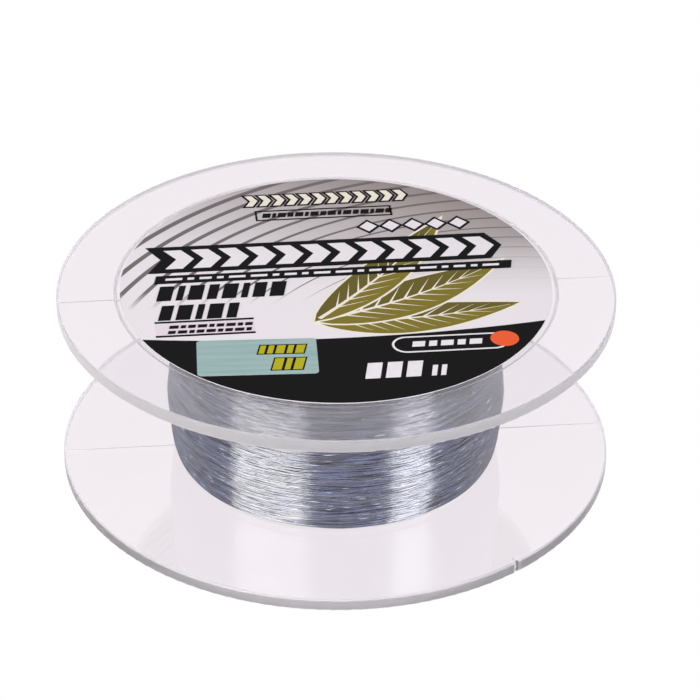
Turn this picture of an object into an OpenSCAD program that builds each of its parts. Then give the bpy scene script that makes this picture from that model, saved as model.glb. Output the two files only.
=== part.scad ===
// Fishing line spool: a clear spool moulded in one piece, the line wound on its barrel,
// the round label in the recess of its top face and the size sticker on that label.
// Millimetres. Z is the spool's axis and Z = 0 is the face it stands on. The mould's two
// side slides part on the plane Y = 0, and the label's print runs along +X.

/* [Flanges] */
// Diameter of both flanges
flange_d = 100; // [96:1:110]
// Height over both flanges
spool_h = 35; // [28:0.5:45]
// Thickness of each flange
flange_t = 2.3; // [1.8:0.1:3]
// Rounding of the edges of both rims
rim_r = 0.35; // [0.1:0.05:0.6]
// Width of the witness line that the slides leave on the flanges' inner faces
witness_w = 0.2; // [0.1:0.02:0.4]
// Height of that witness line
witness_h = 0.06; // [0.02:0.01:0.07]

/* [Barrel and hub] */
// Diameter of the barrel under the line
barrel_d = 54; // [50:1:58]
// Wall of the barrel at its open end
barrel_wall = 1.8; // [1.2:0.1:2.4]
// Fillet between the barrel and each flange
root_r = 0.8; // [0.4:0.1:1.4]
// Diameter of the spindle bore
bore_d = 10; // [7:0.5:13]
// Wall of the hub at its open end
hub_wall = 2.4; // [1.6:0.1:3.5]
// How far the hub stops short of the base
hub_inset = 1; // [0.4:0.2:3]
// Chamfer at the mouth of the bore and of the barrel
mouth_chamfer = 0.6; // [0.3:0.1:1]
// How much narrower the pockets are at the web than at the base, on each side
draft = 0.4; // [0.1:0.1:0.7]
// Fillet where the pockets meet the web
pocket_r = 1; // [0.5:0.1:1.6]

/* [Ribs] */
// Number of ribs between the hub and the barrel
rib_count = 6; // [3:1:10]
// Thickness of a rib at its free edge
rib_t = 1.3; // [0.9:0.1:2]
// How far the ribs stop short of the base
rib_inset = 4; // [2:0.5:10]

/* [Line slit] */
// Width of the slit that grips the end of the line
slit_w = 0.24; // [0.16:0.02:0.5]
// Depth of the slit, from the rim
slit_depth = 1.3; // [0.9:0.1:5]
// Width of the notch in the rim that leads the line into the slit
notch_w = 1.7; // [0.8:0.1:3]
// Depth of the notch
notch_depth = 0.5; // [0.3:0.05:0.8]
// Direction of the slit, in degrees from +X
slit_angle = -56.4; // [-90:0.2:-20]

/* [Winding] */
// Depth of line on the barrel, halfway up
winding_depth = 3.2; // [1:0.1:12]
// How far the winding falls away towards the flanges
winding_drop = 0.9; // [0:0.1:1]
// Height of the swelling that the last passes of line left
winding_swell = 0.55; // [0:0.05:1]
// Place of the swelling, from 0 at the lower flange to 1 at the upper one
swell_place = 0.32; // [0.2:0.01:0.8]
// Width of the swelling, as a share of the winding's height
swell_width = 0.12; // [0.06:0.01:0.3]
// Gap between the winding and the spool
winding_gap = 0.1; // [0.08:0.01:0.2]

/* [Label] */
// Diameter of the label's recess in the top face
recess_d = 78.8; // [60:0.2:88]
// Depth of the recess
recess_depth = 0.3; // [0.26:0.02:0.5]
// Rounding of the recess's top edge
recess_edge_r = 0.2; // [0.05:0.05:0.25]
// Gap left beside the label, where it lies nearest to the recess's wall
label_gap = 0.1; // [0.05:0.05:0.5]
// How far the label was stuck off centre, along +Y
label_shift = 0.6; // [0:0.1:1.5]
// Thickness of the label
label_t = 0.12; // [0.08:0.02:0.14]

/* [Size sticker] */
// Length of the sticker
sticker_l = 20.8; // [14:0.2:24]
// Width of the sticker
sticker_w = 11.3; // [8:0.1:14]
// Rounding of its corners
sticker_r = 0.8; // [0.4:0.1:1.5]
// Thickness of the sticker
sticker_t = 0.1; // [0.06:0.02:0.12]
// Gap between the sticker's outer corner and the label's edge
sticker_gap = 0.25; // [0:0.05:6]
// Direction of that corner from the label's centre, in degrees from +X
sticker_angle = 226.8; // [215:0.2:235]
// Turn of the sticker on the label, in degrees
sticker_turn = -2.6; // [-5:0.2:5]

/* [Hidden] */
$fn = 128;

fillet_fn = 32;
overlap = 0.3;

flange_r = flange_d / 2;
barrel_r = barrel_d / 2;
bore_r = bore_d / 2;

// The web closes the barrel's top end and carries the label.
web_z = spool_h - flange_t;
recess_z = spool_h - recess_depth;

// The pockets narrow towards the web, so that the mould's core draws.
hub_foot_r = bore_r + hub_wall;
hub_root_r = hub_foot_r + draft;
wall_foot_r = barrel_r - barrel_wall;
wall_root_r = wall_foot_r - draft;

label_r = recess_d / 2 - label_shift - label_gap;
label_top_z = recess_z + label_t;

// Radius of the winding at a height u, which goes from 0 to 1 between the flanges.
winding_steps = 32;
function winding_r(u) =
    barrel_r + winding_depth
    - winding_drop * pow(abs(2 * u - 1), 8)
    + winding_swell * exp(-pow((u - swell_place) / swell_width, 2));

// Section of a flange from the axis out, with both edges of its rim rounded.
module flange_section() {
    square([flange_r - rim_r, flange_t]);
    translate([0, rim_r]) square([flange_r, flange_t - 2 * rim_r]);
    for (z = [rim_r, flange_t - rim_r])
        translate([flange_r - rim_r, z]) circle(r = rim_r, $fn = fillet_fn);
}

// The material between a corner at the origin and its fillet, in the quarter where X and Y
// are positive. Added, it rounds an inside corner, and cut away, it rounds an outside one.
module corner_fill(r) {
    difference() {
        translate([-overlap, -overlap]) square(r + overlap);
        translate([r, r]) circle(r = r, $fn = fillet_fn);
    }
}

// Both corners where a flange meets the barrel, outside it.
module root_fills() {
    translate([barrel_r, flange_t]) corner_fill(root_r);
    translate([barrel_r, web_z]) mirror([0, 1]) corner_fill(root_r);
}

// Section of the hollow between the hub and the barrel, open at the base.
module pocket_section() {
    difference() {
        polygon([
            [hub_foot_r, hub_inset],
            [hub_root_r, web_z],
            [wall_root_r, web_z],
            [wall_foot_r, mouth_chamfer],
            [wall_foot_r + mouth_chamfer, 0],
            [wall_foot_r + mouth_chamfer, -overlap],
            [0, -overlap],
            [0, hub_inset]
        ]);
        translate([hub_root_r, web_z]) mirror([0, 1]) corner_fill(pocket_r);
        translate([wall_root_r, web_z]) rotate(180) corner_fill(pocket_r);
    }
}

// Section of the spindle bore, with its chamfered mouth.
module bore_section() {
    polygon([
        [0, hub_inset - overlap],
        [bore_r + mouth_chamfer + overlap, hub_inset - overlap],
        [bore_r, hub_inset + mouth_chamfer],
        [bore_r, web_z],
        [0, web_z]
    ]);
}

module spool_section() {
    difference() {
        union() {
            flange_section();
            translate([0, web_z]) flange_section();
            translate([0, flange_t / 2]) square([barrel_r, spool_h - flange_t]);
            root_fills();
        }
        pocket_section();
        bore_section();
        translate([0, recess_z]) square([recess_d / 2, recess_depth + overlap]);
        translate([recess_d / 2, spool_h]) mirror([0, 1]) corner_fill(recess_edge_r);
    }
}

// One rib, along +X, from inside the hub's wall to inside the barrel's wall.
module rib() {
    start_r = bore_r + hub_wall / 2;
    end_r = barrel_r - barrel_wall / 2;
    root_t = rib_t + draft;
    translate([start_r, 0, 0]) rotate([90, 0, 90])
        linear_extrude(end_r - start_r)
            polygon([
                [-rib_t / 2, rib_inset],
                [rib_t / 2, rib_inset],
                [root_t / 2, web_z + overlap],
                [-root_t / 2, web_z + overlap]
            ]);
}

// The raised hairline of the mould's parting plane, on the inner face of each flange.
module witness_lines() {
    start_r = barrel_r - overlap;
    run = flange_r - rim_r - start_r;
    for (side = [0, 180], z = [flange_t - overlap, web_z - witness_h])
        rotate(side) translate([start_r, -witness_w / 2, z])
            cube([run, witness_w, witness_h + overlap]);
}

// The slit through the lower rim, with the notch that leads the line into it.
module line_slit() {
    rotate(slit_angle) translate([flange_r, 0, -overlap])
        linear_extrude(flange_t + 2 * overlap) {
            translate([-slit_depth, -slit_w / 2]) square([slit_depth + overlap, slit_w]);
            polygon([
                [-notch_depth, -slit_w / 2],
                [0, -notch_w / 2],
                [overlap, -notch_w / 2],
                [overlap, notch_w / 2],
                [0, notch_w / 2],
                [-notch_depth, slit_w / 2]
            ]);
        }
}

module spool_body() {
    color([0.93, 0.92, 0.94, 0.45]) difference() {
        union() {
            rotate_extrude() spool_section();
            for (i = [0 : rib_count - 1]) rotate((i + 0.5) * 360 / rib_count) rib();
            witness_lines();
        }
        line_slit();
    }
}

// The pack of line: its inner corners follow the spool's fillets, and its outside is
// the uneven barrel that the line was laid in.
module wound_line() {
    inner_r = barrel_r + winding_gap;
    low_z = flange_t + winding_gap;
    high_z = web_z - winding_gap;
    corner_r = root_r - winding_gap;
    color([0.50, 0.51, 0.56]) rotate_extrude() difference() {
        polygon(concat(
            [[inner_r, high_z], [inner_r, low_z]],
            [for (i = [0 : winding_steps])
                let (u = i / winding_steps)
                [winding_r(u), low_z + u * (high_z - low_z)]]
        ));
        translate([inner_r, low_z]) corner_fill(corner_r);
        translate([inner_r, high_z]) mirror([0, 1]) corner_fill(corner_r);
    }
}

module top_label() {
    color([0.85, 0.84, 0.84])
        translate([0, label_shift, recess_z]) cylinder(h = label_t, r = label_r);
}

// The sticker's outer corner lies just inside the label's edge.
module size_sticker() {
    half = [sticker_l / 2 - sticker_r, sticker_w / 2 - sticker_r];
    corner_place = label_r - sticker_gap - sticker_r;
    color([0.63, 0.73, 0.72]) translate([0, label_shift, label_top_z])
        rotate(sticker_angle) translate([corner_place, 0, 0])
            rotate(sticker_turn - sticker_angle) translate(half)
                linear_extrude(sticker_t) {
                    square([sticker_l, 2 * half.y], center = true);
                    square([2 * half.x, sticker_w], center = true);
                    for (x = [-half.x, half.x], y = [-half.y, half.y])
                        translate([x, y]) circle(r = sticker_r, $fn = fillet_fn);
                }
}

spool_body();
wound_line();
top_label();
size_sticker();
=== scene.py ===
# %% [markdown]
# A spool of clear fishing line.
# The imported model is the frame: it holds each piece at its real size, in metres, with +Z up
# along the spool's axis. This script dresses it. It gives the clear spool its finish, winds
# real strands of line in place of the plain solid winding, and prints the label and sticker.

# %% Load the frame
import bisect
import math
import random

import bpy
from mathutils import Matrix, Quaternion, Vector


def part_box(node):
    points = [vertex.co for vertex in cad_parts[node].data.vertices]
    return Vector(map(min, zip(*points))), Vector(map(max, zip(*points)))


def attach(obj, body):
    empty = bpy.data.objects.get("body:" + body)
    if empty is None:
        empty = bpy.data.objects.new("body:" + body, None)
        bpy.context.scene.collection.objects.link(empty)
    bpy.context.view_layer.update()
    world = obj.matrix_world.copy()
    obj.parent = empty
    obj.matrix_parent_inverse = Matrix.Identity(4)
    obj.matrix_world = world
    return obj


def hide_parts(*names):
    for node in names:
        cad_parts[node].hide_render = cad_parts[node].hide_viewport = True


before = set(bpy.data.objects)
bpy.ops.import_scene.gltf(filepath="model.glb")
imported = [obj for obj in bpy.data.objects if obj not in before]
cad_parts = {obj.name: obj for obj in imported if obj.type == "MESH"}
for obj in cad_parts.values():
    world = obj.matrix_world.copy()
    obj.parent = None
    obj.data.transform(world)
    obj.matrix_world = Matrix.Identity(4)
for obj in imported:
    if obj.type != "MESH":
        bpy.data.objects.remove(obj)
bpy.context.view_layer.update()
scene = bpy.context.scene
MM = 0.001

flange_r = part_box("spool_body")[1].x
spool_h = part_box("spool_body")[1].z
print("spool", round(2 * flange_r / MM, 2), "mm across,", round(spool_h / MM, 2), "mm high")

# %% [markdown]
# Two helpers carry all the materials. Colours are written as the sRGB hex values that a
# colour picker shows, and Blender's shaders want linear light, so one function converts them.
# The other adds a node, sets its values and joins its inputs in one call. Two small ones
# start a material and put it on a piece.

# %% Helpers for materials
def linear(hex_colour):
    """The linear RGBA of an sRGB colour such as "F2683C"."""
    srgb = [int(hex_colour[i:i + 2], 16) / 255 for i in (0, 2, 4)]
    rgb = [c / 12.92 if c <= 0.04045 else ((c + 0.055) / 1.055) ** 2.4 for c in srgb]
    return (*rgb, 1.0)


def add(tree, kind, inputs=None, **settings):
    """Adds a node. inputs maps a socket's name or number to a value, to a socket to join it
    to, or to a node, which then gives its first output."""
    made = tree.nodes.new("ShaderNode" + kind)
    for name, value in settings.items():
        setattr(made, name, value)
    for name, value in (inputs or {}).items():
        if isinstance(name, int):
            socket = made.inputs[name]
        else:
            socket = next(s for s in made.inputs if s.name == name and s.enabled)
        if isinstance(value, bpy.types.Node):
            value = next(s for s in value.outputs if s.enabled)
        if isinstance(value, bpy.types.NodeSocket):
            tree.links.new(value, socket)
        else:
            socket.default_value = value
    return made


def new_material(name):
    """A material with an empty node tree, and that tree."""
    material = bpy.data.materials.new(name)
    material.use_nodes = True
    material.node_tree.nodes.clear()
    return material, material.node_tree


def dress(piece, material):
    """Gives a piece one material in place of any that it has."""
    piece.data.materials.clear()
    piece.data.materials.append(material)


# %% [markdown]
# The camera and the lamps all look at the middle of the spool, so each is placed by the way
# it lies in from there and by its distance. The camera looks down from about 33 degrees with
# a long lens, which makes the two flanges nearly the same ellipse. Its roll and shift are the
# small ones that the framing needs.

# %% Aim at the spool
spool_middle = Vector((0, 0, spool_h / 2))


def outward(azimuth, elevation):
    """The unit vector from the spool towards a place. Azimuth is from +X, in degrees."""
    a, e = math.radians(azimuth), math.radians(elevation)
    return Vector((math.cos(a) * math.cos(e), math.sin(a) * math.cos(e), math.sin(e)))


def aim(thing, away, distance):
    """Stands a camera or a lamp off from the spool's middle and turns it to face it."""
    thing.location = spool_middle + away * distance
    thing.rotation_mode = "QUATERNION"
    thing.rotation_quaternion = away.to_track_quat("Z", "Y")


# %% Camera
VIEW_AZIMUTH = -96.0
VIEW_ELEVATION = 32.66
VIEW_DISTANCE = 540.1 * MM
VIEW_ROLL = math.radians(0.39)
VIEW_SHIFT = (0.0203, 0.025)
LENS_MM = 152.49
SENSOR_MM = 36

camera = bpy.data.objects.new("camera", bpy.data.cameras.new("camera"))
scene.collection.objects.link(camera)
scene.camera = camera
camera.data.sensor_width = SENSOR_MM
camera.data.lens = LENS_MM
camera.data.shift_x, camera.data.shift_y = VIEW_SHIFT
camera.data.clip_start = 10 * MM
aim(camera, outward(VIEW_AZIMUTH, VIEW_ELEVATION), VIEW_DISTANCE)
camera.rotation_quaternion = camera.rotation_quaternion @ Quaternion((0, 0, 1), VIEW_ROLL)
print("camera", round(camera.location.length / MM), "mm from the spool's foot")

# %% [markdown]
# The spool stands on an opal acrylic light table, because clear plastic reads best when what
# shows through it is light. A camera that is set for the plastic burns the bare table out to
# plain white. One emission value can't be both that white and the slightly grey light that
# the plastic shows, so the table is two sheets in one place, each hidden from the other's
# rays. A brighter sheet with exposure turned down would burn out the label as well. Seen
# from below both are let through, to show the open core.

# %% Light table
TABLE_SIZE = 4.0
TABLE_GAP = 0.1 * MM


def opal_acrylic(name, colour):
    """Opal sheet that glows upwards and lets a look from below through."""
    material, tree = new_material(name)
    glow = add(tree, "Emission", {"Color": linear(colour), "Strength": 1.0})
    clear = add(tree, "BsdfTransparent")
    from_below = add(tree, "NewGeometry").outputs["Backfacing"]
    sheet = add(tree, "MixShader", {0: from_below, 1: glow, 2: clear})
    add(tree, "OutputMaterial", {"Surface": sheet})
    return material


def table_sheet(name, colour):
    """One sheet of the light table, just below the spool's foot."""
    bpy.ops.mesh.primitive_plane_add(size=TABLE_SIZE, location=(0, 0, -TABLE_GAP))
    sheet = bpy.context.object
    sheet.name = name
    dress(sheet, opal_acrylic(name, colour))
    return sheet


seen = table_sheet("table_as_seen", "FFFFFF")
for ray in ("diffuse", "glossy", "transmission", "shadow", "volume_scatter"):
    setattr(seen, "visible_" + ray, False)
lit = table_sheet("table_as_light", "FBF6FA")
lit.visible_camera = False
print("light table", TABLE_SIZE, "m wide,", TABLE_GAP / MM, "mm below the spool")

# %% [markdown]
# Two soft boxes stand to the left and the right of the camera, with the dark room between
# them. On a cylinder each gives one upright band of light, and the room gives the dark bands
# beside them. The left box is the wider one and a little warm. The right one is a little
# cool, and an ellipse, which gives its band softer ends. A small lamp above evens out the
# label. An image of a studio would do all of this in one go, but lamps can be moved one at a
# time until each band lies in its place.
#
# The lamps are hidden from rays that pass through clear plastic: an edge with a radius of a
# few tenths of a millimetre would show them as stray white dots.

# %% Soft boxes
def soft_box(name, azimuth, elevation, distance, size, power, shape="RECTANGLE",
             colour="FFFFFF"):
    """An area light that faces the spool. Its size is in metres and its power in watts."""
    light = bpy.data.lights.new(name, "AREA")
    light.shape = shape
    light.size, light.size_y = size
    light.energy = power
    light.color = linear(colour)[:3]
    lamp = bpy.data.objects.new(name, light)
    scene.collection.objects.link(lamp)
    aim(lamp, outward(azimuth, elevation), distance)
    lamp.visible_camera = False
    lamp.visible_transmission = False
    print(name, power, "W at", distance, "m")


soft_box("soft_box_left", azimuth=-138.5, elevation=16, distance=0.75, size=(0.66, 0.7),
         power=10.0, colour="FFFEFB")
soft_box("soft_box_right", azimuth=-45.5, elevation=16, distance=0.75, size=(0.36, 0.7),
         power=5.4, shape="ELLIPSE", colour="F6F7FF")
soft_box("soft_box_top", azimuth=90, elevation=75, distance=0.9, size=(0.6, 0.6), power=1.0)

# %% [markdown]
# The room is dark behind the camera and pale behind the spool, since the pale side is what
# the flanges mirror. One even grey would leave either the dark bands on the line too light or
# the flanges too dark, so the grey follows the direction from one side to the other.

# %% Room
DARK_SIDE = 0.2
PALE_SIDE = 0.78
PALE_WAY = (0.14, 1.0, 0.0)
PALE_FROM = -0.1
PALE_TO = 0.5

world = bpy.data.worlds.new("studio")
scene.world = world
world.use_nodes = True
tree = world.node_tree
tree.nodes.clear()
way = add(tree, "TexCoord").outputs["Generated"]
depth = add(tree, "VectorMath", {0: way, 1: PALE_WAY}, operation="DOT_PRODUCT")
depth = add(tree, "MapRange", {
    "Value": depth.outputs["Value"], "From Min": PALE_FROM, "From Max": PALE_TO,
    "To Min": DARK_SIDE, "To Max": PALE_SIDE})
room = add(tree, "Background", {"Strength": depth})
add(tree, "OutputWorld", {"Surface": room})
scene.view_settings.view_transform = "Standard"
print("room from", DARK_SIDE, "to", PALE_SIDE)

# %% Steps of light
# Light needs many steps through two flanges and their rims before it comes out again.
CLEAR_STEPS = 40
scene.cycles.max_bounces = CLEAR_STEPS
scene.cycles.transmission_bounces = CLEAR_STEPS
scene.cycles.glossy_bounces = 12
scene.cycles.diffuse_bounces = 4
print("up to", CLEAR_STEPS, "steps of light")

# %% [markdown]
# The spool is crystal polystyrene, moulded in one shot. It is stiff, glossy and clear, with
# a refractive index of 1.59 that is higher than window glass. One glass material over the
# whole piece would look like cut crystal, because the finish of a moulding is that of each
# part of its mould:
#
# - The flat faces come from polished steel and are fully glossy.
# - The rims come from a turned ring, which leaves them satin. They scatter the light that
#   runs along inside a flange, so from outside a rim is an even grey, and where it is seen
#   through the flange it is pale. A share of translucent shader does this. Seen edge-on, a
#   rim mirrors the room instead, so there the share is small and the rim fades to white.
# - The small radii at the rims are rougher still, and so is the stoned edge of the recess.
# - The two slides wear where they meet, which leaves a hairline, the witness line.
#
# The masks that tell these parts apart are worked out from the place on the piece, so they
# hold in every view. Painted masks would need the piece to be unwrapped first.

# %% Mask by place
def near(tree, value, middle, half, soft):
    """A mask: 1 where a value lies within half of the middle, and 0 from a further soft on."""
    off = add(tree, "Math", {0: value, 1: middle}, operation="SUBTRACT")
    off = add(tree, "Math", {0: off}, operation="ABSOLUTE")
    return add(tree, "MapRange", {
        "Value": off, "From Min": half, "From Max": half + soft, "To Min": 1.0, "To Max": 0.0})


# %% Where each finish lies
FLANGE_T = 2.3 * MM
BARREL_CLEAR_R = 28 * MM
MASK_SOFT = 0.02 * MM
RIM_FROM = flange_r - 0.45 * MM
RIM_SOFT = 0.25 * MM
RIM_WALL_HALF = 0.8 * MM
EDGE_SOFT = 0.2 * MM
WITNESS_HALF = 0.12 * MM
RECESS_EDGE_R = 39.5 * MM
RECESS_EDGE_HALF = 0.3 * MM
RECESS_TOP = 0.32 * MM


def parts_of_the_mould(tree, where):
    """The height on the spool, and the masks of the rims, their small radii, the witness
    line and the recess's edge."""
    place = add(tree, "SeparateXYZ", {0: where})
    height = place.outputs["Z"]
    flat = add(tree, "VectorMath", {0: where, 1: (1, 1, 0)}, operation="MULTIPLY")
    radius = add(tree, "VectorMath", {0: flat}, operation="LENGTH").outputs["Value"]
    rim = add(tree, "MapRange", {
        "Value": radius, "From Min": RIM_FROM, "From Max": RIM_FROM + RIM_SOFT},
        interpolation_type="SMOOTHSTEP")

    # Distance above or below mid-height, which is the same for both flanges.
    level = add(tree, "Math", {0: height, 1: spool_h / 2}, operation="SUBTRACT")
    level = add(tree, "Math", {0: level}, operation="ABSOLUTE")
    wall = near(tree, level, (spool_h - FLANGE_T) / 2, RIM_WALL_HALF, EDGE_SOFT)
    rim_wall = add(tree, "Math", {0: rim, 1: wall}, operation="MULTIPLY")
    rim_edge = add(tree, "Math", {0: rim, 1: rim_wall}, operation="SUBTRACT")

    # The worn meeting edge of the slides: on the plane Y = 0 and only between the flanges.
    on_plane = near(tree, place.outputs["Y"], 0.0, WITNESS_HALF, MASK_SOFT)
    in_groove = near(tree, level, 0.0, spool_h / 2 - FLANGE_T + MASK_SOFT / 2, MASK_SOFT)
    outside = add(tree, "Math", {0: radius, 1: BARREL_CLEAR_R}, operation="GREATER_THAN")
    witness = add(tree, "Math", {0: on_plane, 1: in_groove}, operation="MULTIPLY")
    witness = add(tree, "Math", {0: witness, 1: outside}, operation="MULTIPLY")

    # The stoned edge of the label's recess.
    at_edge = near(tree, radius, RECESS_EDGE_R, RECESS_EDGE_HALF, 3 * MASK_SOFT)
    at_top = near(tree, height, spool_h, RECESS_TOP, MASK_SOFT)
    recess_edge = add(tree, "Math", {0: at_edge, 1: at_top}, operation="MULTIPLY")
    return height, rim, rim_edge, witness, recess_edge


# %% Clear polystyrene
CLEAR_COLOUR = "FEFCFE"
CLEAR_IOR = 1.59
POLISHED = 0.03
POLISHED_CLEAR = 0.98
EDGE_ROUGH = 0.5
EDGE_CLEAR = 0.6
WITNESS_CLEAR = 0.75
RECESS_CLEAR = 0.9

# The rims come from two rings of the mould, so their finish differs between foot and top.
RIM_ROUGH = 0.4
RIM_CLEAR = (0.96, 0.6)
RIM_HAZE = (0.1, 0.78)
RIM_HAZE_INSIDE = 0.7
HAZE_COLOUR = "F6F4F8"

# The melt's flow leaves the flat faces very slightly wavy.
FLOW_WAVE = 12 * MM
FLOW_DEPTH = 0.02 * MM
FLOW_STRENGTH = 0.3


def clear_polystyrene():
    """Clear and glossy on the flat faces, satin and hazy on the rims."""
    material, tree = new_material("clear_polystyrene")
    where = add(tree, "TexCoord").outputs["Object"]
    height, rim, rim_edge, witness, recess_edge = parts_of_the_mould(tree, where)
    rim_clear, rim_haze = (
        add(tree, "MapRange", {"Value": height, "From Max": spool_h, "To Min": low, "To Max": high})
        for low, high in (RIM_CLEAR, RIM_HAZE))

    roughness = add(tree, "Mix", {0: rim, "A": POLISHED, "B": RIM_ROUGH})
    clearness = add(tree, "Mix", {0: rim, "A": POLISHED_CLEAR, "B": rim_clear})
    for mask, clear in ((rim_edge, EDGE_CLEAR), (witness, WITNESS_CLEAR),
                        (recess_edge, RECESS_CLEAR)):
        roughness = add(tree, "Mix", {0: mask, "A": roughness, "B": EDGE_ROUGH})
        clearness = add(tree, "Mix", {0: mask, "A": clearness, "B": clear})

    waves = add(tree, "TexNoise", {"Vector": where, "Scale": 1 / FLOW_WAVE, "Detail": 1.0})
    bump = add(tree, "Bump", {"Height": waves, "Strength": FLOW_STRENGTH, "Distance": FLOW_DEPTH})
    clear = add(tree, "BsdfPrincipled", {
        "Base Color": linear(CLEAR_COLOUR),
        "Roughness": roughness,
        "IOR": CLEAR_IOR,
        "Transmission Weight": clearness,
        "Normal": bump,
    })

    # From outside the haze follows how square the rim faces the eye, and inside it is even.
    haze = add(tree, "BsdfTranslucent", {"Color": linear(HAZE_COLOUR)})
    edge_on = add(tree, "LayerWeight", {"Blend": 0.5}).outputs["Facing"]
    square_on = add(tree, "Math", {0: 1.0, 1: edge_on}, operation="SUBTRACT")
    outside_haze = add(tree, "Math", {0: rim_haze, 1: square_on}, operation="MULTIPLY")
    inside = add(tree, "NewGeometry").outputs["Backfacing"]
    hazy = add(tree, "Mix", {0: inside, "A": outside_haze, "B": RIM_HAZE_INSIDE})
    hazy = add(tree, "Math", {0: rim, 1: hazy}, operation="MULTIPLY")
    moulding = add(tree, "MixShader", {0: hazy, 1: clear, 2: haze})
    add(tree, "OutputMaterial", {"Surface": moulding})
    return material


dress(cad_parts["spool_body"], clear_polystyrene())
print("rim hazed over the outer", round((flange_r - RIM_FROM) / MM, 2), "mm of each flange")

# %% [markdown]
# The line is one length of nylon monofilament, 0.25 mm thick, drawn through a die and glossy
# all round. Each strand is a tiny glass rod: it mirrors a lamp only where it lies square to
# it, which is why the lamps show as upright bands with frayed edges on the whole pack.
# A bump map on a smooth drum would give the bands without the frayed edges, so the outer
# strands are real tubes here, wound by a loop. Below them a plain drum stands for the rest.
#
# The deepest lay is wound close, turn beside turn. The two above it run steeply to and fro,
# as a winding machine lays them, and rise and dip a little where they cross.

# %% Outer shape of the pack
rings = {}
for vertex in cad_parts["wound_line"].data.vertices:
    height = round(vertex.co.z / MM, 2) * MM
    rings[height] = max(rings.get(height, 0), math.hypot(vertex.co.x, vertex.co.y))
heights = sorted(h for h, r in rings.items() if r > BARREL_CLEAR_R)
pack_low, pack_high = heights[0], heights[-1]
pack_r = max(rings.values())
print("winding", round(2 * pack_r / MM, 2), "mm across over",
      round((pack_high - pack_low) / MM, 2), "mm")


def pack_radius(z):
    """Radius of the outside of the winding at a height, read from the CAD solid."""
    at = min(max(bisect.bisect_right(heights, z), 1), len(heights) - 1)
    low, high = heights[at - 1], heights[at]
    share = min(max((z - low) / (high - low), 0), 1)
    return rings[low] + share * (rings[high] - rings[low])


# %% Mesh helper
def mesh_object(name, points, faces, smooth=True):
    """A mesh in the scene, from points in metres and faces that number them."""
    mesh = bpy.data.meshes.new(name)
    mesh.from_pydata(points, [], faces)
    mesh.polygons.foreach_set("use_smooth", [smooth] * len(mesh.polygons))
    made = bpy.data.objects.new(name, mesh)
    scene.collection.objects.link(made)
    return made


# %% Drum under the strands
CORE_DEPTH = 0.3 * MM
BARREL_GAP = 0.5 * MM
DRUM_SEGMENTS = 96


def turned(name, profile, segments):
    """A closed ring turned round Z from a closed profile of (radius, height) points."""
    count = len(profile)
    points = [
        (r * math.cos(a), r * math.sin(a), z)
        for a in (2 * math.pi * i / segments for i in range(segments)) for r, z in profile]
    faces = [
        (i * count + k, (i + 1) % segments * count + k,
         (i + 1) % segments * count + (k + 1) % count, i * count + (k + 1) % count)
        for i in range(segments) for k in range(count)]
    return mesh_object(name, points, faces)


inner_r = min(rings.values()) + BARREL_GAP
outer = [(pack_radius(z) - CORE_DEPTH, z) for z in heights]
drum = turned("inner_turns", [(inner_r, pack_high), (inner_r, pack_low)] + outer, DRUM_SEGMENTS)
print("drum from", round(inner_r / MM, 2), "mm out to", round(max(outer)[0] / MM, 2), "mm")

# %% Strand along a path
LINE_D = 0.25 * MM
STRAND_SIDES = 6


def tube(name, path, radius, sides):
    """A closed mesh tube along a path that runs round the Z axis."""
    points = []
    for i, point in enumerate(path):
        ahead = path[min(i + 1, len(path) - 1)] - path[max(i - 1, 0)]
        out = Vector((point.x, point.y, 0)).normalized()
        up = ahead.cross(out).normalized()
        points += [
            point + radius * (math.cos(t) * out + math.sin(t) * up)
            for t in (2 * math.pi * k / sides for k in range(sides))]
    faces = [
        (i * sides + k, i * sides + (k + 1) % sides,
         (i + 1) * sides + (k + 1) % sides, (i + 1) * sides + k)
        for i in range(len(path) - 1) for k in range(sides)]
    faces.append(tuple(range(sides - 1, -1, -1)))
    faces.append(tuple((len(path) - 1) * sides + k for k in range(sides)))
    return mesh_object(name, points, faces)


# %% Lay of line
TURN_STEPS = 96
HUMP_STEPS = 3
WANDER = 0.01 * MM

# Over its first and last quarter turn a strand dives in under the others.
TUCK = 0.5 * MM
TUCK_STEPS = TURN_STEPS / 4


def lay_of_line(name, turns, climb, depth, hump, start):
    """Winds line up and down between the flanges. climb and depth are ranges: each pass from
    one flange to the other takes its own climb per turn and its own depth below the outside
    of the pack. hump is how far a strand rises and dips where it crosses those below it."""
    low = pack_low + LINE_D / 2
    high = pack_high - LINE_D / 2
    last = turns * TURN_STEPS
    humps = [random.uniform(-hump, hump) for _ in range(last // HUMP_STEPS + 2)]
    z, rising, path = low, 1, []
    this_climb, this_depth = random.uniform(*climb), random.uniform(*depth)
    for i in range(last + 1):
        angle = start + 2 * math.pi * i / TURN_STEPS
        z += rising * this_climb / TURN_STEPS
        if not low <= z <= high:
            z = min(max(z, low), high)
            rising = -rising
            this_climb, this_depth = random.uniform(*climb), random.uniform(*depth)
        knot, share = divmod(i, HUMP_STEPS)
        ease = (1 - math.cos(math.pi * share / HUMP_STEPS)) / 2
        rise = humps[knot] + ease * (humps[knot + 1] - humps[knot])
        dive = max(0, 1 - min(i, last - i) / TUCK_STEPS) * TUCK
        r = pack_radius(z) - LINE_D / 2 - this_depth + rise - dive
        height = min(max(z + random.uniform(-WANDER, WANDER), low), high)
        path.append(Vector((r * math.cos(angle), r * math.sin(angle), height)))
    return tube(name, path, LINE_D / 2, STRAND_SIDES)


# %% Wind the line
# The close lay climbs by a hair more than the line's own thickness in each turn.
CLOSE_CLIMB = 0.252 * MM
CLOSE_DEPTH = 0.1 * MM


def mm_range(low, high):
    """A range in metres, from millimetres."""
    return low * MM, high * MM


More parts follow.
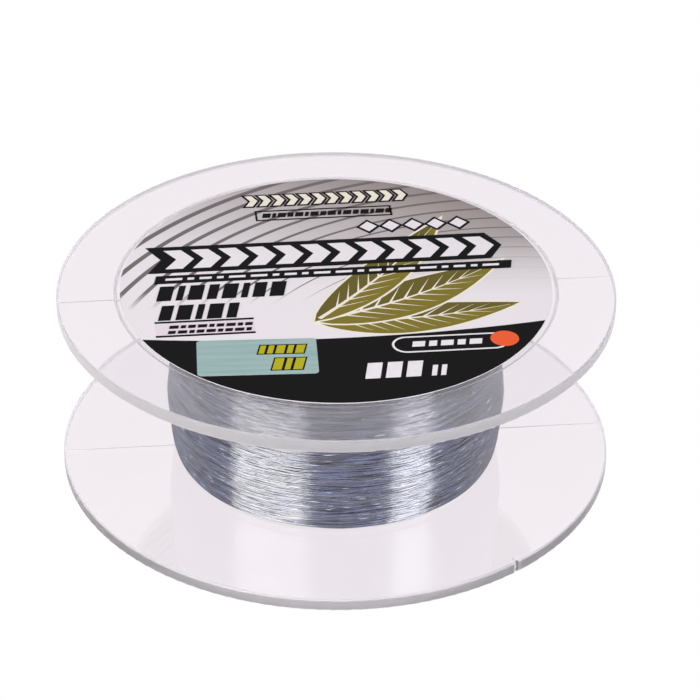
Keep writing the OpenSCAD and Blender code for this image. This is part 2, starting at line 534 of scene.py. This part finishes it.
random.seed(7)
close_lay = lay_of_line(
    "line_close_lay", turns=120, climb=(CLOSE_CLIMB, CLOSE_CLIMB),
    depth=(CLOSE_DEPTH, CLOSE_DEPTH), hump=0.02 * MM, start=0.0)
cross_lay = lay_of_line(
    "line_cross_lay", turns=130, climb=mm_range(4, 13), depth=mm_range(0.03, 0.1),
    hump=0.04 * MM, start=1.3)
top_lay = lay_of_line(
    "line_top_lay", turns=130, climb=mm_range(3, 9), depth=mm_range(0.0, 0.04),
    hump=0.04 * MM, start=4.0)
print("strands:", sum(len(o.data.polygons) for o in (close_lay, cross_lay, top_lay)), "faces")

# %% [markdown]
# A single strand of nylon is nearly clear. A pile of them looks slate blue and mirrors more
# than one strand would, since light goes in and out of many before it comes back. To trace
# that through more than 200,000 faces of glass would be very slow, so the strands are opaque
# here: the body colour is that of the pile, and a higher index than nylon's 1.53 stands for
# its many reflections. Streaks along the line change its colour and its gloss, where the
# turns below lie closer or looser. A few small pale spots painted into the colour are painted
# glints: they stand in for the highlights of strands that kink.

# %% Nylon
NYLON_IOR = 1.53
PILE_IOR = 3.0
PILE_DARK = "10162B"
PILE_LIGHT = "48537C"
STREAK = (7 * MM, 0.4 * MM)
STREAK_SPAN = (0.4, 0.75)
STREAK_GLOSS = (0.15, 0.24)
# Painted glints: the colour, size and spread of the pale spots that stand in for the highlights of
# kinked strands.
PAINTED_GLINT_COLOUR = "CDD2E0"
PAINTED_GLINT_SIZE = (3.0 * MM, 0.16 * MM)
PAINTED_GLINT_SPAN = (0.74, 0.85)
PAINTED_GLINT_LAYER = 9.0
SHADED_COLOUR = "3A3E4C"
SHADED_ROUGH = 0.4


def nylon_monofilament():
    """The outer strands, with streaks along the line and pale spots painted in as glints."""
    material, tree = new_material("nylon_monofilament")
    place = add(tree, "SeparateXYZ", {0: add(tree, "TexCoord").outputs["Object"]})
    angle = add(tree, "Math", {0: place.outputs["Y"], 1: place.outputs["X"]},
                operation="ARCTAN2")

    def along_the_line(size, layer, detail):
        """Noise whose grains have a length along the line and a width across it."""
        along = add(tree, "Math", {0: angle, 1: pack_r / size[0]}, operation="MULTIPLY")
        across = add(tree, "Math", {0: place.outputs["Z"], 1: size[1]}, operation="DIVIDE")
        where = add(tree, "CombineXYZ", {"X": along, "Y": across, "Z": layer})
        return add(tree, "TexNoise", {"Vector": where, "Scale": 1.0, "Detail": detail})

    share = add(tree, "MapRange", {
        "Value": along_the_line(STREAK, layer=0.0, detail=2.0),
        "From Min": STREAK_SPAN[0], "From Max": STREAK_SPAN[1]})
    body = add(tree, "Mix", {
        "Factor": share, "A": linear(PILE_DARK), "B": linear(PILE_LIGHT)}, data_type="RGBA")
    # Painted glints: pale spots mixed into the base colour stand in for highlights.
    painted_glints = add(tree, "MapRange", {
        "Value": along_the_line(PAINTED_GLINT_SIZE, layer=PAINTED_GLINT_LAYER, detail=0.0),
        "From Min": PAINTED_GLINT_SPAN[0], "From Max": PAINTED_GLINT_SPAN[1]})
    body = add(tree, "Mix", {
        "Factor": painted_glints, "A": body, "B": linear(PAINTED_GLINT_COLOUR)}, data_type="RGBA")
    gloss = add(tree, "MapRange", {
        "Value": share, "To Min": STREAK_GLOSS[0], "To Max": STREAK_GLOSS[1]})
    strand = add(tree, "BsdfPrincipled", {
        "Base Color": body, "Roughness": gloss, "IOR": PILE_IOR})
    add(tree, "OutputMaterial", {"Surface": strand})
    return material


def packed_nylon():
    """The turns below, in the shade of those above."""
    material, tree = new_material("packed_nylon")
    turns = add(tree, "BsdfPrincipled", {
        "Base Color": linear(SHADED_COLOUR), "Roughness": SHADED_ROUGH, "IOR": NYLON_IOR})
    add(tree, "OutputMaterial", {"Surface": turns})
    return material


# %% Dress the winding
outer_line = nylon_monofilament()
dress(drum, packed_nylon())
for piece in (close_lay, cross_lay, top_lay):
    dress(piece, outer_line)
for piece in (drum, close_lay, cross_lay, top_lay):
    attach(piece, "root")
    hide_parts("wound_line")
    print(piece.name, "takes the place of the plain winding")

# %% [markdown]
# The label is a round film of matt polypropylene, printed in a few flat inks. Its ground
# shades from taupe at the far side to white, with ripples as on water that broaden as they
# spread and fade out at the label's middle. Such a soft ground is easiest as nodes on the
# film itself: the distance from one point, folded into a zigzag, gives even rings, and a
# threshold that moves with the distance gives them a width. A matt film still has the sheen
# of its index, 1.49. It is turned down, because at the camera's low angle it would wash the
# black out to grey.

# %% Label film
label_low, label_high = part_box("top_label")
label_centre = (label_low + label_high) / 2
label_r = (label_high.x - label_low.x) / 2
GROUND_NEAR = "E2DCE1"
GROUND_FAR = "938886"
SLOPE_WAY = (0.6, 1.0, 0.0)
SLOPE_SPAN = (-5 * MM, 45 * MM)
FAR_SPAN = (-6 * MM, 14 * MM)
RIPPLE_COLOUR = "71686A"
RIPPLE_CENTRE = label_centre + Vector((30 * MM, -40 * MM, 0))
RIPPLE_PITCH = 3.6 * MM
RIPPLE_SPAN = (44 * MM, 86 * MM)
RIPPLE_WIDEST = 0.16
RIPPLE_SOFT = 0.02
RIPPLE_FADE = (-5 * MM, 1 * MM)
MATT = {"Roughness": 0.6, "IOR": 1.49, "Specular IOR Level": 0.08}


def matt_label_film():
    """The film's ground, from taupe to white, with the ripples on it."""
    material, tree = new_material("matt_label_film")
    where = add(tree, "TexCoord").outputs["Object"]
    far = add(tree, "SeparateXYZ", {0: where}).outputs["Y"]
    distance = add(tree, "VectorMath", {0: where, 1: RIPPLE_CENTRE},
                   operation="DISTANCE").outputs["Value"]
    count = add(tree, "Math", {0: distance, 1: RIPPLE_PITCH}, operation="DIVIDE")
    zigzag = add(tree, "Math", {0: count, 1: 0.5}, operation="PINGPONG")
    width = add(tree, "MapRange", {
        "Value": distance, "From Min": RIPPLE_SPAN[0], "From Max": RIPPLE_SPAN[1],
        "To Max": RIPPLE_WIDEST})
    inside = add(tree, "Math", {0: width, 1: zigzag}, operation="SUBTRACT")
    ripple = add(tree, "MapRange", {
        "Value": inside, "From Min": -RIPPLE_SOFT, "From Max": RIPPLE_SOFT},
        interpolation_type="SMOOTHSTEP")
    slope = add(tree, "VectorMath", {0: where, 1: SLOPE_WAY}, operation="DOT_PRODUCT")
    fade, shade, far_share = (
        add(tree, "MapRange", {"Value": value, "From Min": span[0], "From Max": span[1]})
        for value, span in (
            (far, RIPPLE_FADE), (slope.outputs["Value"], SLOPE_SPAN), (far, FAR_SPAN)))
    ripple = add(tree, "Math", {0: ripple, 1: fade}, operation="MULTIPLY")
    shade = add(tree, "Math", {0: shade, 1: far_share}, operation="MULTIPLY")
    ground = add(tree, "Mix", {
        "Factor": shade, "A": linear(GROUND_NEAR), "B": linear(GROUND_FAR)}, data_type="RGBA")
    printed = add(tree, "Mix", {
        "Factor": ripple, "A": ground, "B": linear(RIPPLE_COLOUR)}, data_type="RGBA")
    film = add(tree, "BsdfPrincipled", {"Base Color": printed, **MATT})
    add(tree, "OutputMaterial", {"Surface": film})
    return material


dress(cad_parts["top_label"], matt_label_film())
print("label", round(2 * label_r / MM, 2), "mm across")

# %% [markdown]
# The graphics are separate flat inks: black, white, olive and a few small accents. A picture
# painted on the film would blur when the camera comes close, so each ink is a set of thin
# closed solids, one level per ink, and a higher level prints over a lower one. The motifs
# are generic: three leaves with veins, chevrons, leaning bars and a few small signs. Bars
# of mixed widths have the rhythm of a line of print without being letters.

# %% Ink as a material
MOTTLE = 1.2 * MM
MOTTLE_SHADE = (0.94, 1.06)


def offset_ink(name, colour):
    """An ink with the faint mottle that film takes it with."""
    material, tree = new_material(name)
    where = add(tree, "TexCoord").outputs["Object"]
    mottle = add(tree, "TexNoise", {"Vector": where, "Scale": 1 / MOTTLE, "Detail": 2.0})
    value = add(tree, "MapRange", {
        "Value": mottle, "To Min": MOTTLE_SHADE[0], "To Max": MOTTLE_SHADE[1]})
    shade = add(tree, "HueSaturation", {"Color": linear(colour), "Value": value})
    dry = add(tree, "BsdfPrincipled", {"Base Color": shade, **MATT})
    add(tree, "OutputMaterial", {"Surface": dry})
    return material


# %% Ink as a thin solid
INK_STEP = 0.004 * MM
INK_SUNK = 0.002 * MM


def signed_area(outline):
    """The area in an outline, which is negative where it runs clockwise."""
    ends = zip(outline, outline[1:] + outline[:1])
    return sum(x0 * y1 - x1 * y0 for (x0, y0), (x1, y1) in ends) / 2


def ink(name, outlines, level, material, surface=None, turn=0.0):
    """Prints closed outlines, in mm from the middle of a surface, as thin solids."""
    low, high = surface or (label_low, label_high)
    middle = (low + high) / 2
    points, faces = [], []
    for outline in outlines:
        if signed_area(outline) < 0:
            outline = outline[::-1]
        first, count = len(points), len(outline)
        for z in (high.z - INK_SUNK, high.z + level * INK_STEP):
            for x, y in outline:
                place = Vector((x * MM, y * MM, 0))
                place.rotate(Quaternion((0, 0, 1), turn))
                points.append((middle.x + place.x, middle.y + place.y, z))
        faces.append([first + k for k in reversed(range(count))])
        faces.append([first + count + k for k in range(count)])
        faces += [
            (first + k, first + (k + 1) % count,
             first + count + (k + 1) % count, first + count + k) for k in range(count)]
    piece = mesh_object(name, points, faces, smooth=False)
    dress(piece, material)
    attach(piece, "root")
    print(name, "on level", level)


# %% Outlines, in mm
ROUND_STEPS = 12


def arc(x, y, radius, first, last, steps):
    """Points along an arc. Angles are in degrees from +X."""
    angles = [math.radians(first + (last - first) * i / steps) for i in range(steps + 1)]
    return [(x + radius * math.cos(a), y + radius * math.sin(a)) for a in angles]


def block(x, y, width, height, lean=0.0):
    """A four-sided block from its lower left corner, which leans to the right."""
    shift = lean * height
    return [(x, y), (x + width, y), (x + width + shift, y + height), (x + shift, y + height)]


def grown(outline, by):
    """An outline moved out on all sides by a distance."""
    way = 1 if signed_area(outline) > 0 else -1
    points = []
    for i, (x, y) in enumerate(outline):
        before, after = outline[i - 1], outline[(i + 1) % len(outline)]
        first = Vector((y - before[1], before[0] - x)).normalized() * way
        second = Vector((after[1] - y, x - after[0])).normalized() * way
        out = (first + second) * (by / (1 + first.dot(second)))
        points.append((x + out.x, y + out.y))
    return points


def frame_bars(x, y, width, height, line):
    """The four mitred bars of a rectangular frame."""
    outside = block(x, y, width, height)
    inside = grown(outside, -line)
    return [[outside[i], outside[(i + 1) % 4], inside[(i + 1) % 4], inside[i]]
            for i in range(4)]


def round_bar(x, y, width, height):
    """A bar with round ends, from its lower left corner."""
    r = height / 2
    return (arc(x + width - r, y + r, r, -90, 90, ROUND_STEPS)
            + arc(x + r, y + r, r, 90, 270, ROUND_STEPS))


# %% Shape of a leaf, in mm
LEAF_FOOT = (-5.0, -12.3)
LEAVES = [
    {"direction": 5, "length": 37, "width": 9.5, "bend": 7},
    {"direction": 27, "length": 40, "width": 10.5, "bend": 8},
    {"direction": 52, "length": 43, "width": 8.5, "bend": 6},
]
LEAF_STEPS = 18

# Below 1, these move the widest place towards the foot and make the leaf fuller.
LEAF_TO_FOOT = 0.8
LEAF_FULL = 0.9


def leaf_point(leaf, along, side, off=0.0):
    """A place on a leaf: along goes from 0 at the foot to 1 at the tip, and side from -1 at
    the right edge to 1 at the left one. off is a further distance to the left, in mm."""
    turn = math.radians(leaf["direction"])
    x = leaf["length"] * along
    half = 0
    if 0 < along < 1:
        half = leaf["width"] / 2 * math.sin(math.pi * along ** LEAF_TO_FOOT) ** LEAF_FULL
    y = side * half - leaf["bend"] * along * (1 - along) + off
    return (LEAF_FOOT[0] + x * math.cos(turn) - y * math.sin(turn),
            LEAF_FOOT[1] + x * math.sin(turn) + y * math.cos(turn))


def between(leaf, right, left):
    """The part of a leaf between two sides, as one outline."""
    steps = [i / LEAF_STEPS for i in range(LEAF_STEPS + 1)]
    return ([leaf_point(leaf, t, right) for t in steps]
            + [leaf_point(leaf, t, left) for t in reversed(steps[1:-1])])


# %% Rib and veins of a leaf
RIB_W = 0.8
RIB_START = 0.03
RIB_LENGTH = 0.92
VEINS = 9
VEIN_W = 0.34
VEIN_START = 0.14
VEIN_PITCH = 0.075
VEIN_ALONG = 0.12
VEIN_TO_EDGE = 0.8


def leaf_rib(leaf):
    """The midrib, which tapers to a point at the tip."""
    steps = [RIB_START + RIB_LENGTH * i / LEAF_STEPS for i in range(LEAF_STEPS + 1)]
    return ([leaf_point(leaf, t, 0, -RIB_W / 2 * (1 - t)) for t in steps]
            + [leaf_point(leaf, t, 0, RIB_W / 2 * (1 - t)) for t in reversed(steps)])


def leaf_veins(leaf):
    """The veins, each a long triangle from the midrib towards the edge."""
    veins = []
    width = VEIN_W / leaf["length"]
    for i in range(VEINS):
        foot = VEIN_START + VEIN_PITCH * i
        for side in (-1, 1):
            veins.append([leaf_point(leaf, foot - width, 0), leaf_point(leaf, foot + width, 0),
                          leaf_point(leaf, foot + VEIN_ALONG, VEIN_TO_EDGE * side)])
    return veins


# %% Print the leaves
LEAF_LEVELS = 5
LEAF_EDGE_W = 0.45
cream = offset_ink("cream_ink", "E6DED1")
olive = offset_ink("olive_ink", "7B6F29")
dark_olive = offset_ink("dark_olive_ink", "645A26")
for i, leaf in enumerate(LEAVES):
    level = 1 + LEAF_LEVELS * i
    ink(f"label_leaf_edge_{i}", [grown(between(leaf, -1, 1), LEAF_EDGE_W)], level, cream)
    ink(f"label_leaf_{i}", [between(leaf, -1, 1)], level + 1, olive)
    ink(f"label_leaf_shade_{i}", [between(leaf, 0, 1)], level + 2, dark_olive)
    ink(f"label_leaf_veins_{i}", leaf_veins(leaf), level + 3, cream)
    ink(f"label_leaf_rib_{i}", [leaf_rib(leaf)], level + 4, cream)
OVER_LEAVES = 1 + LEAF_LEVELS * len(LEAVES)

# %% Chevrons, bars and gems
LEAN = 0.2


def chevron(x, y, width, height, point):
    """A chevron that points along +X, from its lower left corner."""
    return [(x, y), (x + width, y), (x + width + point, y + height / 2),
            (x + width, y + height), (x, y + height), (x + point, y + height / 2)]


def bars(x, y, height, widths, gap):
    """A row of leaning bars of the given widths."""
    row = []
    for width in widths:
        row.append(block(x, y, width, height, LEAN))
        x += width + gap
    return row


def gem(x, y, half_width, half_height):
    """A diamond, from its middle."""
    return [(x - half_width, y), (x, y - half_height), (x + half_width, y), (x, y + half_height)]


# %% Far half of the print, in mm from the label's middle
SIGNS = 12
headline = [chevron(x=-14.0 + 2.55 * i, y=29.4, width=1.35, height=3.9, point=1.0)
            for i in range(SIGNS)]
small_print = frame_bars(x=-12.5, y=23.9, width=25.5, height=3.7, line=0.35)
small_print += bars(x=-11.3, y=25.0, height=1.5, widths=[1.5, 0.7, 1.5, 1.1] * 4, gap=0.33)
gems = [gem(x=8.0 + 4.2 * i, y=20.0, half_width=1.6, half_height=1.8) for i in range(5)]

title = [chevron(x=-30.2 + 5.0 * i, y=7.9, width=3.2, height=6.6, point=2.2)
         for i in range(SIGNS)]
title_edge = chevron(x=-33.4, y=6.6, width=62.4, height=9.2, point=2.6)
strip = block(x=-32.5, y=2.9, width=64.6, height=2.7, lean=LEAN)
strip_marks = bars(x=-30.4, y=3.9, height=0.75, widths=[3.0, 1.2, 2.2, 1.2, 3.0] * 4, gap=0.95)
print("far half:", len(headline + small_print + gems + title + strip_marks) + 2, "outlines")

# %% Rows on the left, in mm from the label's middle
ROW_H = 4.9
ROW_GAP = 0.85
rows = bars(x=-32.4, y=-3.0, height=ROW_H, widths=[2.6, 1.2, 2.6, 1.8, 2.6, 1.2, 2.2, 2.6],
            gap=ROW_GAP)
rows += bars(x=-32.4, y=-9.6, height=ROW_H, widths=[2.2, 2.6, 1.2, 2.6, 1.8], gap=ROW_GAP)

tint = [block(x=-33.0, y=-15.0, width=17.4, height=5.0)]
tint_lines = [block(x=-33.0, y=y, width=17.4, height=0.5) for y in (-10.5, -15.1)]
tint_lines += bars(x=-30.6, y=-12.4, height=0.95, widths=[1.6, 0.9, 1.3] * 3, gap=0.4)
tint_lines += bars(x=-30.9, y=-14.1, height=0.95, widths=[1.3, 1.6, 0.9] * 3, gap=0.4)
print("rows:", len(rows + tint + tint_lines), "outlines")

# %% Band along the near edge, in mm from the label's middle
BAND_MIDDLE = -18.2
BAND_ENDS = -15.6
BAND_INSET = 0.02
BAND_RIM_STEPS = 90
BAND_BOW_STEPS = 40
DOT_SIDES = 50


def near_band():
    """The band between the label's near edge and a bow that sags between its ends."""
    outer_r = label_r / MM
    half = math.sqrt(outer_r ** 2 - BAND_ENDS ** 2)
    rise = BAND_ENDS - BAND_MIDDLE
    bow_r = (half ** 2 + rise ** 2) / (2 * rise)
    swing = math.degrees(math.asin(half / bow_r))
    end = math.degrees(math.asin(BAND_ENDS / outer_r))
    rim = arc(0, 0, outer_r - BAND_INSET, -180 - end, end, BAND_RIM_STEPS)
    bow = arc(0, BAND_MIDDLE + bow_r, bow_r, -90 + swing, -90 - swing, BAND_BOW_STEPS)
    return rim + bow[1:-1]


band = near_band()
length_bars = bars(x=1.8, y=-31.6, height=ROW_H, widths=[2.6, 2.6, 2.6], gap=0.9)
length_bars += bars(x=13.2, y=-31.6, height=3.3, widths=[0.9, 0.9], gap=0.7)
tab = round_bar(x=8.0, y=-23.6, width=19.6, height=4.4)
tab_marks = bars(x=11.0, y=-22.2, height=1.7, widths=[2.2, 1.4, 2.2, 1.4, 2.2], gap=0.7)
dot = arc(x=27.4, y=-20.9, radius=2.5, first=0, last=360 - 360 / DOT_SIDES,
          steps=DOT_SIDES - 1)
print("band:", len(band), "points")

# %% Print the label
HEADLINE_LINE = 0.4
GEM_LINE = 0.5
TAB_LINE = 0.42
black = offset_ink("black_ink", "0A0A0C")
white = offset_ink("white_ink", "E2DCE1")
ink("label_tint", tint, 1, offset_ink("lilac_ink", "DFD2DB"))
ink("label_black", [title_edge, strip, band] + rows + small_print + tint_lines,
    OVER_LEAVES, black)
ink("label_outlines", [grown(o, HEADLINE_LINE) for o in headline]
    + [grown(o, GEM_LINE) for o in gems], OVER_LEAVES, black)
ink("label_white", title + strip_marks + gems + length_bars + [grown(tab, TAB_LINE)],
    OVER_LEAVES + 1, white)
ink("label_headline", headline, OVER_LEAVES + 1, cream)
ink("label_tab", [tab], OVER_LEAVES + 2, black)
ink("label_tab_marks", tab_marks, OVER_LEAVES + 3, white)
ink("label_dot", [dot], OVER_LEAVES + 3, offset_ink("orange_ink", "E45A31"))

# %% [markdown]
# The size sticker is coated paper in a pale teal, cut with round corners. It was run through
# a hand labeller, whose dry roller leaves faint streaks along it. A noise that is stretched
# along the sticker gives them. It has to be turned with the sticker, which sits askew.

# %% Size sticker
sticker_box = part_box("size_sticker")
STICKER_TURN = math.radians(-2.6)
PAPER_DARK = "8AA9A8"
PAPER_LIGHT = "A0B2B3"
PAPER_ROUGH = 0.45
ROLLER_STREAK = 0.9 * MM
ROLLER_STRETCH = (0.06, 1, 1)
ROLLER_SPAN = (0.35, 0.7)


def coated_paper():
    """Pale teal paper with the streaks of a roller."""
    material, tree = new_material("coated_paper")
    where = add(tree, "TexCoord").outputs["Object"]
    along = add(tree, "VectorRotate", {"Vector": where, "Angle": -STICKER_TURN},
                rotation_type="Z_AXIS")
    stretched = add(tree, "VectorMath", {0: along, 1: ROLLER_STRETCH}, operation="MULTIPLY")
    streaks = add(tree, "TexNoise", {
        "Vector": stretched, "Scale": 1 / ROLLER_STREAK, "Detail": 3.0})
    faint = add(tree, "MapRange", {
        "Value": streaks, "From Min": ROLLER_SPAN[0], "From Max": ROLLER_SPAN[1]})
    colour = add(tree, "Mix", {
        "Factor": faint, "A": linear(PAPER_DARK), "B": linear(PAPER_LIGHT)}, data_type="RGBA")
    paper = add(tree, "BsdfPrincipled", {"Base Color": colour, **MATT, "Roughness": PAPER_ROUGH})
    add(tree, "OutputMaterial", {"Surface": paper})
    return material


dress(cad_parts["size_sticker"], coated_paper())
print("sticker turned by", round(math.degrees(STICKER_TURN), 1), "degrees")

# %% Print the sticker, in mm from its middle
MARK_LINE = 0.28
marks = bars(x=0.2, y=1.0, height=2.6, widths=[1.0, 1.0, 1.5, 1.0, 1.5], gap=0.45)
marks += bars(x=2.4, y=-4.2, height=3.6, widths=[1.6, 1.0, 1.6], gap=0.5)
ink("sticker_mark_edges", [grown(o, MARK_LINE) for o in marks], 1,
    black, sticker_box, STICKER_TURN)
ink("sticker_marks", marks, 2, offset_ink("lime_ink", "AFA71D"), sticker_box,
    STICKER_TURN)
